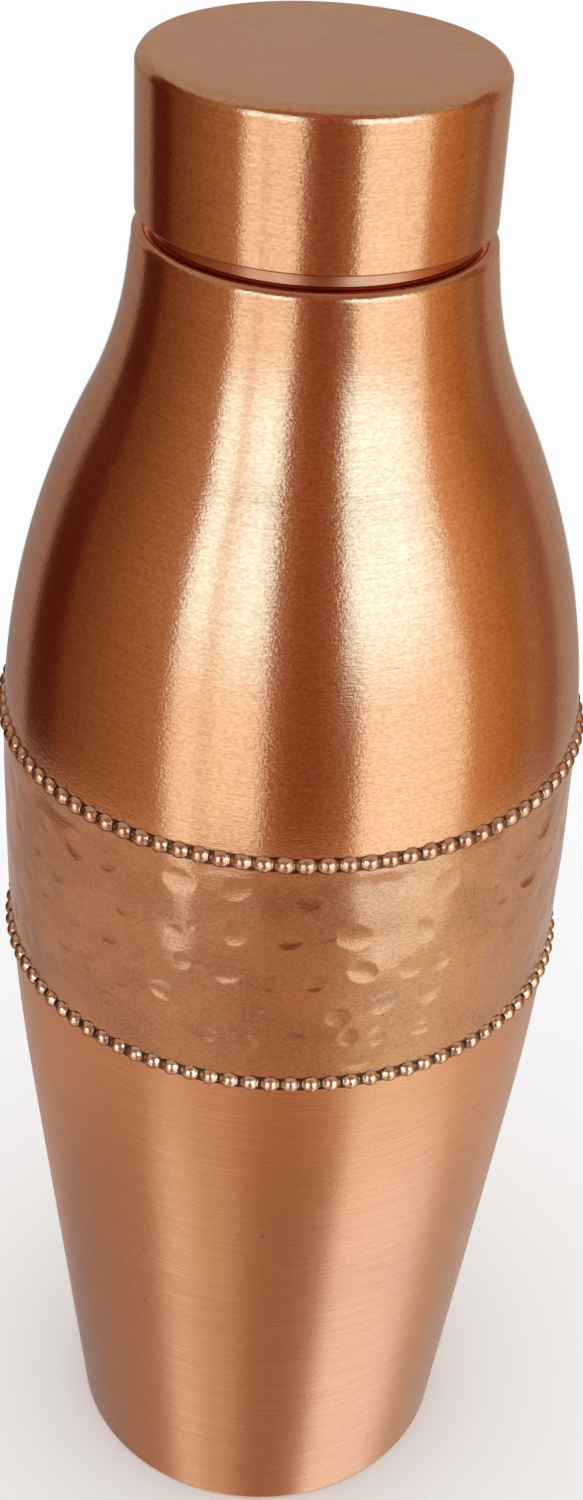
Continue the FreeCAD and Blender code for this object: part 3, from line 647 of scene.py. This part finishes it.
def bead_copper(name, light, gloom):
    mat, N = new_material(name)
    out = N.new("ShaderNodeOutputMaterial")
    bsdf = N.new("ShaderNodeBsdfPrincipled")
    N.put(out.inputs["Surface"], bsdf.outputs[0])
    co = N.new("ShaderNodeTexCoord").outputs["Object"]
    hollow = N.attribute("hollow")
    grime_and_shade = N.noise(co, 700.0, 3.0, 0.65)
    # painted shade with some oxide: near black in the necks between beads and where the wire meets the body
    dark = N.smooth(N.math("ADD", hollow, N.linear(grime_and_shade, 0.25, 0.75, -0.22, 0.22)), 0.35, 0.95)
    tone = N.mix(N.smooth(grime_and_shade, 0.4, 0.7, 0.0, 0.35), light, (0.60, 0.30, 0.18, 1.0))
    # painted shade: the tone darkens towards each bead's outline, where it turns away from the view, giving dark
    # edges
    facing = N.new("ShaderNodeLayerWeight")
    facing.inputs["Blend"].default_value = 0.5
    tone = N.mix(N.smooth(facing.outputs["Facing"], 0.30, 0.72, 0.0, gloom), tone, (0.13, 0.040, 0.025, 1.0))
    tone = N.mix(N.math("MULTIPLY", dark, 0.94), tone, (0.060, 0.022, 0.012, 1.0))
    N.put(bsdf.inputs["Base Color"], tone)
    bsdf.inputs["Metallic"].default_value = 1.0
    N.put(bsdf.inputs["Roughness"], N.mixf(dark, 0.18, 0.50))
    N.put(bsdf.inputs["Normal"], N.bump(N.noise(co, 900.0, 2.0, 0.6), 0.13 * MM))
    return mat


low_beads = beaded_wire("lower_beads", LOW_Z, 91, -0.39, 11, 1.34)
up_beads = beaded_wire("upper_beads", UP_Z, 92, 0.31, 12, 1.48)
# painted light: the lower row gets a lighter tone and a little less outline shade than the upper, for the brighter
# light on its tops
for beads, node, mat in (
        (low_beads, "lower_bead_wire", bead_copper("copper_beads_lower", (1.0, 0.62, 0.38, 1.0), 0.85)),
        (up_beads, "upper_bead_wire", bead_copper("copper_beads_upper", (0.92, 0.50, 0.29, 1.0), 0.92))):
    beads.data.materials.append(mat)
    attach(beads, "bottle"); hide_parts(node)


def silicone():
    mat, N = new_material("silicone_milky")
    out = N.new("ShaderNodeOutputMaterial")
    bsdf = N.new("ShaderNodeBsdfPrincipled")
    N.put(out.inputs["Surface"], bsdf.outputs[0])
    co = N.new("ShaderNodeTexCoord").outputs["Object"]
    cloud = N.noise(co, 160.0, 3.0, 0.6)
    N.put(bsdf.inputs["Base Color"], N.mix(N.smooth(cloud, 0.35, 0.7), (0.84, 0.84, 0.80, 1.0), (0.74, 0.72, 0.65, 1.0)))
    N.put(bsdf.inputs["Roughness"], N.linear(cloud, 0.3, 0.7, 0.38, 0.52))
    bsdf.inputs["Subsurface Weight"].default_value = 0.35
    bsdf.inputs["Subsurface Radius"].default_value = (1.0, 0.9, 0.75)
    bsdf.inputs["Subsurface Scale"].default_value = 0.0012
    N.put(bsdf.inputs["Normal"], N.bump(N.noise(co, 2400.0, 2.0, 0.6), 0.02 * MM))
    return mat


# ------------------------------------------------- CAD nodes that stay as is
for node, mat in (("base_plate", mat_inside), ("neck_ring", mat_neck), ("cap_thread_ring", mat_turned),
                  ("sealing_washer", silicone())):
    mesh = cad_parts[node].data
    mesh.materials.clear()
    mesh.materials.append(mat)


# --------------------------------------------------------------------- stage
def world_light():
    world = bpy.data.worlds.new("studio")
    bpy.context.scene.world = world
    world.use_nodes = True
    N = Nodes(world.node_tree)
    out = N.new("ShaderNodeOutputWorld")
    gen = N.new("ShaderNodeTexCoord").outputs["Generated"]
    xyz = N.new("ShaderNodeSeparateXYZ")
    N.put(xyz.inputs[0], gen)
    az = N.math("ARCTAN2", xyz.outputs["X"], N.math("MULTIPLY", xyz.outputs["Y"], -1.0))
    turn = N.math("ADD", N.math("DIVIDE", az, 2 * math.pi), 0.5)
    el = N.math("DEGREES", N.math("ARCSINE", xyz.outputs["Z"]))

    def ramp(stops):
        node = N.new("ShaderNodeValToRGB")
        node.color_ramp.interpolation = "LINEAR"
        els = node.color_ramp.elements
        while len(els) > 1:
            els.remove(els[-1])
        for i, (deg, col) in enumerate(stops):
            e = els[0] if i == 0 else els.new((deg + 180.0) / 360.0)
            e.position = (deg + 180.0) / 360.0
            e.color = (col[0], col[1], col[2], 1.0)
        N.put(node.inputs[0], turn)
        return node.outputs[0]

    # Softboxes left and right of the camera and one behind the bottle, with flags
    # and the warm room between them: above eye level, level, on the table's far
    # side and on the table.
    top = ramp([
        (-180, (0.43, 0.44, 0.45)), (-126, (0.38, 0.30, 0.28)), (-121, (0.13, 0.04, 0.03)),
        (-104, (0.10, 0.03, 0.02)), (-99, (0.16, 0.065, 0.04)), (-87, (0.21, 0.10, 0.05)),
        (-69, (0.33, 0.19, 0.10)), (-49, (0.46, 0.30, 0.20)), (-45, (1.15, 1.90, 2.70)),
        (-38, (1.20, 2.20, 3.30)), (-35, (1.10, 1.70, 2.20)), (-33, (0.92, 1.00, 1.10)),
        (-30, (1.15, 1.80, 2.50)), (-20, (1.20, 2.20, 3.35)), (-12, (1.10, 1.80, 2.50)),
        (-8, (0.42, 0.25, 0.18)), (0, (0.28, 0.12, 0.065)), (9, (0.26, 0.115, 0.06)),
        (18, (0.36, 0.19, 0.11)), (22, (1.10, 1.80, 2.50)), (28, (1.20, 2.25, 3.40)),
        (48, (1.20, 2.20, 3.30)), (58, (1.15, 1.80, 2.55)), (64, (1.08, 1.45, 1.80)),
        (69, (0.74, 0.58, 0.40)), (81, (0.57, 0.36, 0.18)), (93, (0.41, 0.23, 0.09)),
        (105, (0.30, 0.14, 0.065)), (124, (0.29, 0.14, 0.08)), (130, (0.44, 0.36, 0.33)),
        (180, (0.43, 0.44, 0.45)),
    ])
    mid = ramp([
        (-180, (1.00, 1.00, 1.00)), (-168, (1.00, 1.00, 1.00)), (-163, (0.30, 0.26, 0.23)),
        (-128, (0.33, 0.24, 0.21)), (-122, (0.09, 0.022, 0.015)), (-104, (0.085, 0.022, 0.015)),
        (-99, (0.16, 0.065, 0.04)), (-87, (0.21, 0.10, 0.05)), (-48.5, (0.42, 0.25, 0.14)),
        (-44.5, (1.02, 1.15, 1.25)), (-36, (1.10, 1.30, 1.45)), (-32, (0.88, 0.92, 0.92)),
        (-28, (1.08, 1.25, 1.32)), (-12, (1.05, 1.20, 1.30)), (-7, (0.38, 0.20, 0.14)),
        (0, (0.25, 0.11, 0.06)), (10, (0.23, 0.10, 0.05)), (24, (0.37, 0.21, 0.13)),
        (28, (1.10, 1.30, 1.45)), (40, (1.15, 1.42, 1.68)), (62, (1.06, 1.22, 1.28)),
        (68, (1.00, 1.10, 1.10)), (73, (0.60, 0.40, 0.22)), (87, (0.48, 0.26, 0.10)),
        (99, (0.37, 0.20, 0.085)), (107, (0.38, 0.24, 0.155)), (118, (0.28, 0.16, 0.10)),
        (125, (0.28, 0.17, 0.12)), (129, (0.40, 0.30, 0.25)), (163, (0.40, 0.34, 0.29)),
        (168, (1.00, 1.00, 1.00)),
    ])
    gap = ramp([
        (-180, (0.52, 0.46, 0.44)), (-130, (0.46, 0.36, 0.31)), (-100, (0.53, 0.43, 0.38)),
        (-50, (0.57, 0.46, 0.38)), (-20, (0.54, 0.40, 0.32)), (-4, (0.49, 0.33, 0.23)),
        (12, (0.49, 0.33, 0.23)), (24, (0.55, 0.42, 0.32)), (36, (0.68, 0.61, 0.49)),
        (50, (0.79, 0.79, 0.68)), (66, (0.79, 0.79, 0.70)), (84, (0.74, 0.68, 0.58)),
        (100, (0.67, 0.60, 0.52)), (124, (0.58, 0.50, 0.44)), (180, (0.52, 0.46, 0.44)),
    ])
    low = ramp([
        (-180, (0.90, 0.90, 0.90)), (-168, (0.90, 0.90, 0.90)), (-162, (0.32, 0.32, 0.35)),
        (-136, (0.31, 0.29, 0.31)), (-112, (0.33, 0.27, 0.26)), (-88, (0.37, 0.28, 0.25)),
        (-64, (0.44, 0.33, 0.28)), (-58, (0.80, 0.85, 0.90)), (-48, (0.84, 0.90, 0.96)),
        (-42, (0.76, 0.74, 0.74)), (-34, (0.62, 0.55, 0.51)), (-22, (0.59, 0.51, 0.47)),
        (-14, (0.48, 0.37, 0.32)), (-6, (0.37, 0.25, 0.20)), (10, (0.33, 0.215, 0.165)),
        (24, (0.36, 0.23, 0.18)), (36, (0.43, 0.30, 0.25)), (41, (0.92, 1.05, 1.25)),
        (48, (1.00, 1.16, 1.42)), (80, (0.99, 1.14, 1.40)), (92, (0.93, 1.04, 1.26)),
        (100, (0.70, 0.66, 0.62)), (112, (0.54, 0.47, 0.42)), (124, (0.49, 0.43, 0.39)),
        (140, (0.47, 0.44, 0.42)), (162, (0.42, 0.40, 0.40)), (168, (0.90, 0.90, 0.90)),
    ])
    deg = N.math("DEGREES", az)
    # the two boxes in front reach lower than the room round them
    left_box = N.math("MULTIPLY", N.smooth(deg, -47.0, -44.0), N.smooth(deg, -38.0, -35.0, 1.0, 0.0))
    right_box = N.math("MULTIPLY", N.smooth(deg, 28.0, 30.5), N.smooth(deg, 66.0, 76.0, 1.0, 0.0))
    foot = N.math("MULTIPLY", N.math("ADD", left_box, right_box), 6.5)
    edge = N.math("ADD", N.math("SUBTRACT", el, 6.5), foot)
    glossy = N.mix(N.smooth(el, -51.0, -47.5), low, gap)
    glossy = N.mix(N.smooth(edge, -39.0, -37.0), glossy, mid)
    glossy = N.mix(N.smooth(el, -8.0, 6.0), glossy, top)
    # a dark flag over the camera, the pale ceiling behind it
    above = N.mix(N.smooth(xyz.outputs["Y"], -0.60, -0.25), (0.34, 0.15, 0.09, 1.0), (0.43, 0.44, 0.45, 1.0))
    glossy = N.mix(N.smooth(el, 24.0, 34.0), glossy, above)
    path = N.new("ShaderNodeLightPath")
    plain = (1.06, 1.06, 1.06, 1.0)
    colour = N.mix(path.outputs["Is Glossy Ray"], plain, glossy)
    back = N.new("ShaderNodeBackground")
    N.put(back.inputs["Color"], colour)
    back.inputs["Strength"].default_value = 1.0
    N.put(out.inputs["Surface"], back.outputs[0])
    world.cycles.sampling_method = "NONE"


world_light()

floor_me = bpy.data.meshes.new("floor")
S = 40.0
floor_me.from_pydata([(-S, -S, 0), (S, -S, 0), (S, S, 0), (-S, S, 0)], [], [(0, 1, 2, 3)])
floor = bpy.data.objects.new("floor", floor_me)
bpy.context.scene.collection.objects.link(floor)
fmat, FN = new_material("floor_pale")
fo = FN.new("ShaderNodeOutputMaterial")
fb = FN.new("ShaderNodeBsdfDiffuse")
fb.inputs["Color"].default_value = (0.93, 0.93, 0.93, 1.0)
FN.put(fo.inputs["Surface"], fb.outputs[0])
floor_me.materials.append(fmat)
floor.visible_glossy = False

# -------------------------------------------------------------------- camera
yaw, pitch, roll = 0.01862, 0.59278, 0.06217
fwd = Vector((math.sin(yaw) * math.cos(pitch), math.cos(yaw) * math.cos(pitch), -math.sin(pitch)))
right = Vector((math.cos(yaw), -math.sin(yaw), 0.0))
up = right.cross(fwd)
r2 = right * math.cos(roll) + up * math.sin(roll)
u2 = up * math.cos(roll) - right * math.sin(roll)
cam_data = bpy.data.cameras.new("camera")
cam_data.sensor_fit = "AUTO"
cam_data.sensor_width = 36.0
cam_data.lens = 2162.8 / 1500.0 * 36.0
cam_data.shift_x = -0.0206
cam_data.shift_y = 0.0018
cam_data.clip_start = 0.01
cam = bpy.data.objects.new("camera", cam_data)
bpy.context.scene.collection.objects.link(cam)
basis = Matrix((
    (r2.x, u2.x, -fwd.x, 0.0),
    (r2.y, u2.y, -fwd.y, -0.2771),
    (r2.z, u2.z, -fwd.z, 0.32536),
    (0.0, 0.0, 0.0, 1.0),
))
cam.matrix_world = basis
bpy.context.scene.camera = cam

scene = bpy.context.scene
scene.view_settings.view_transform = "Standard"
scene.view_settings.look = "None"
scene.view_settings.exposure = 0.0
scene.view_settings.gamma = 1.0
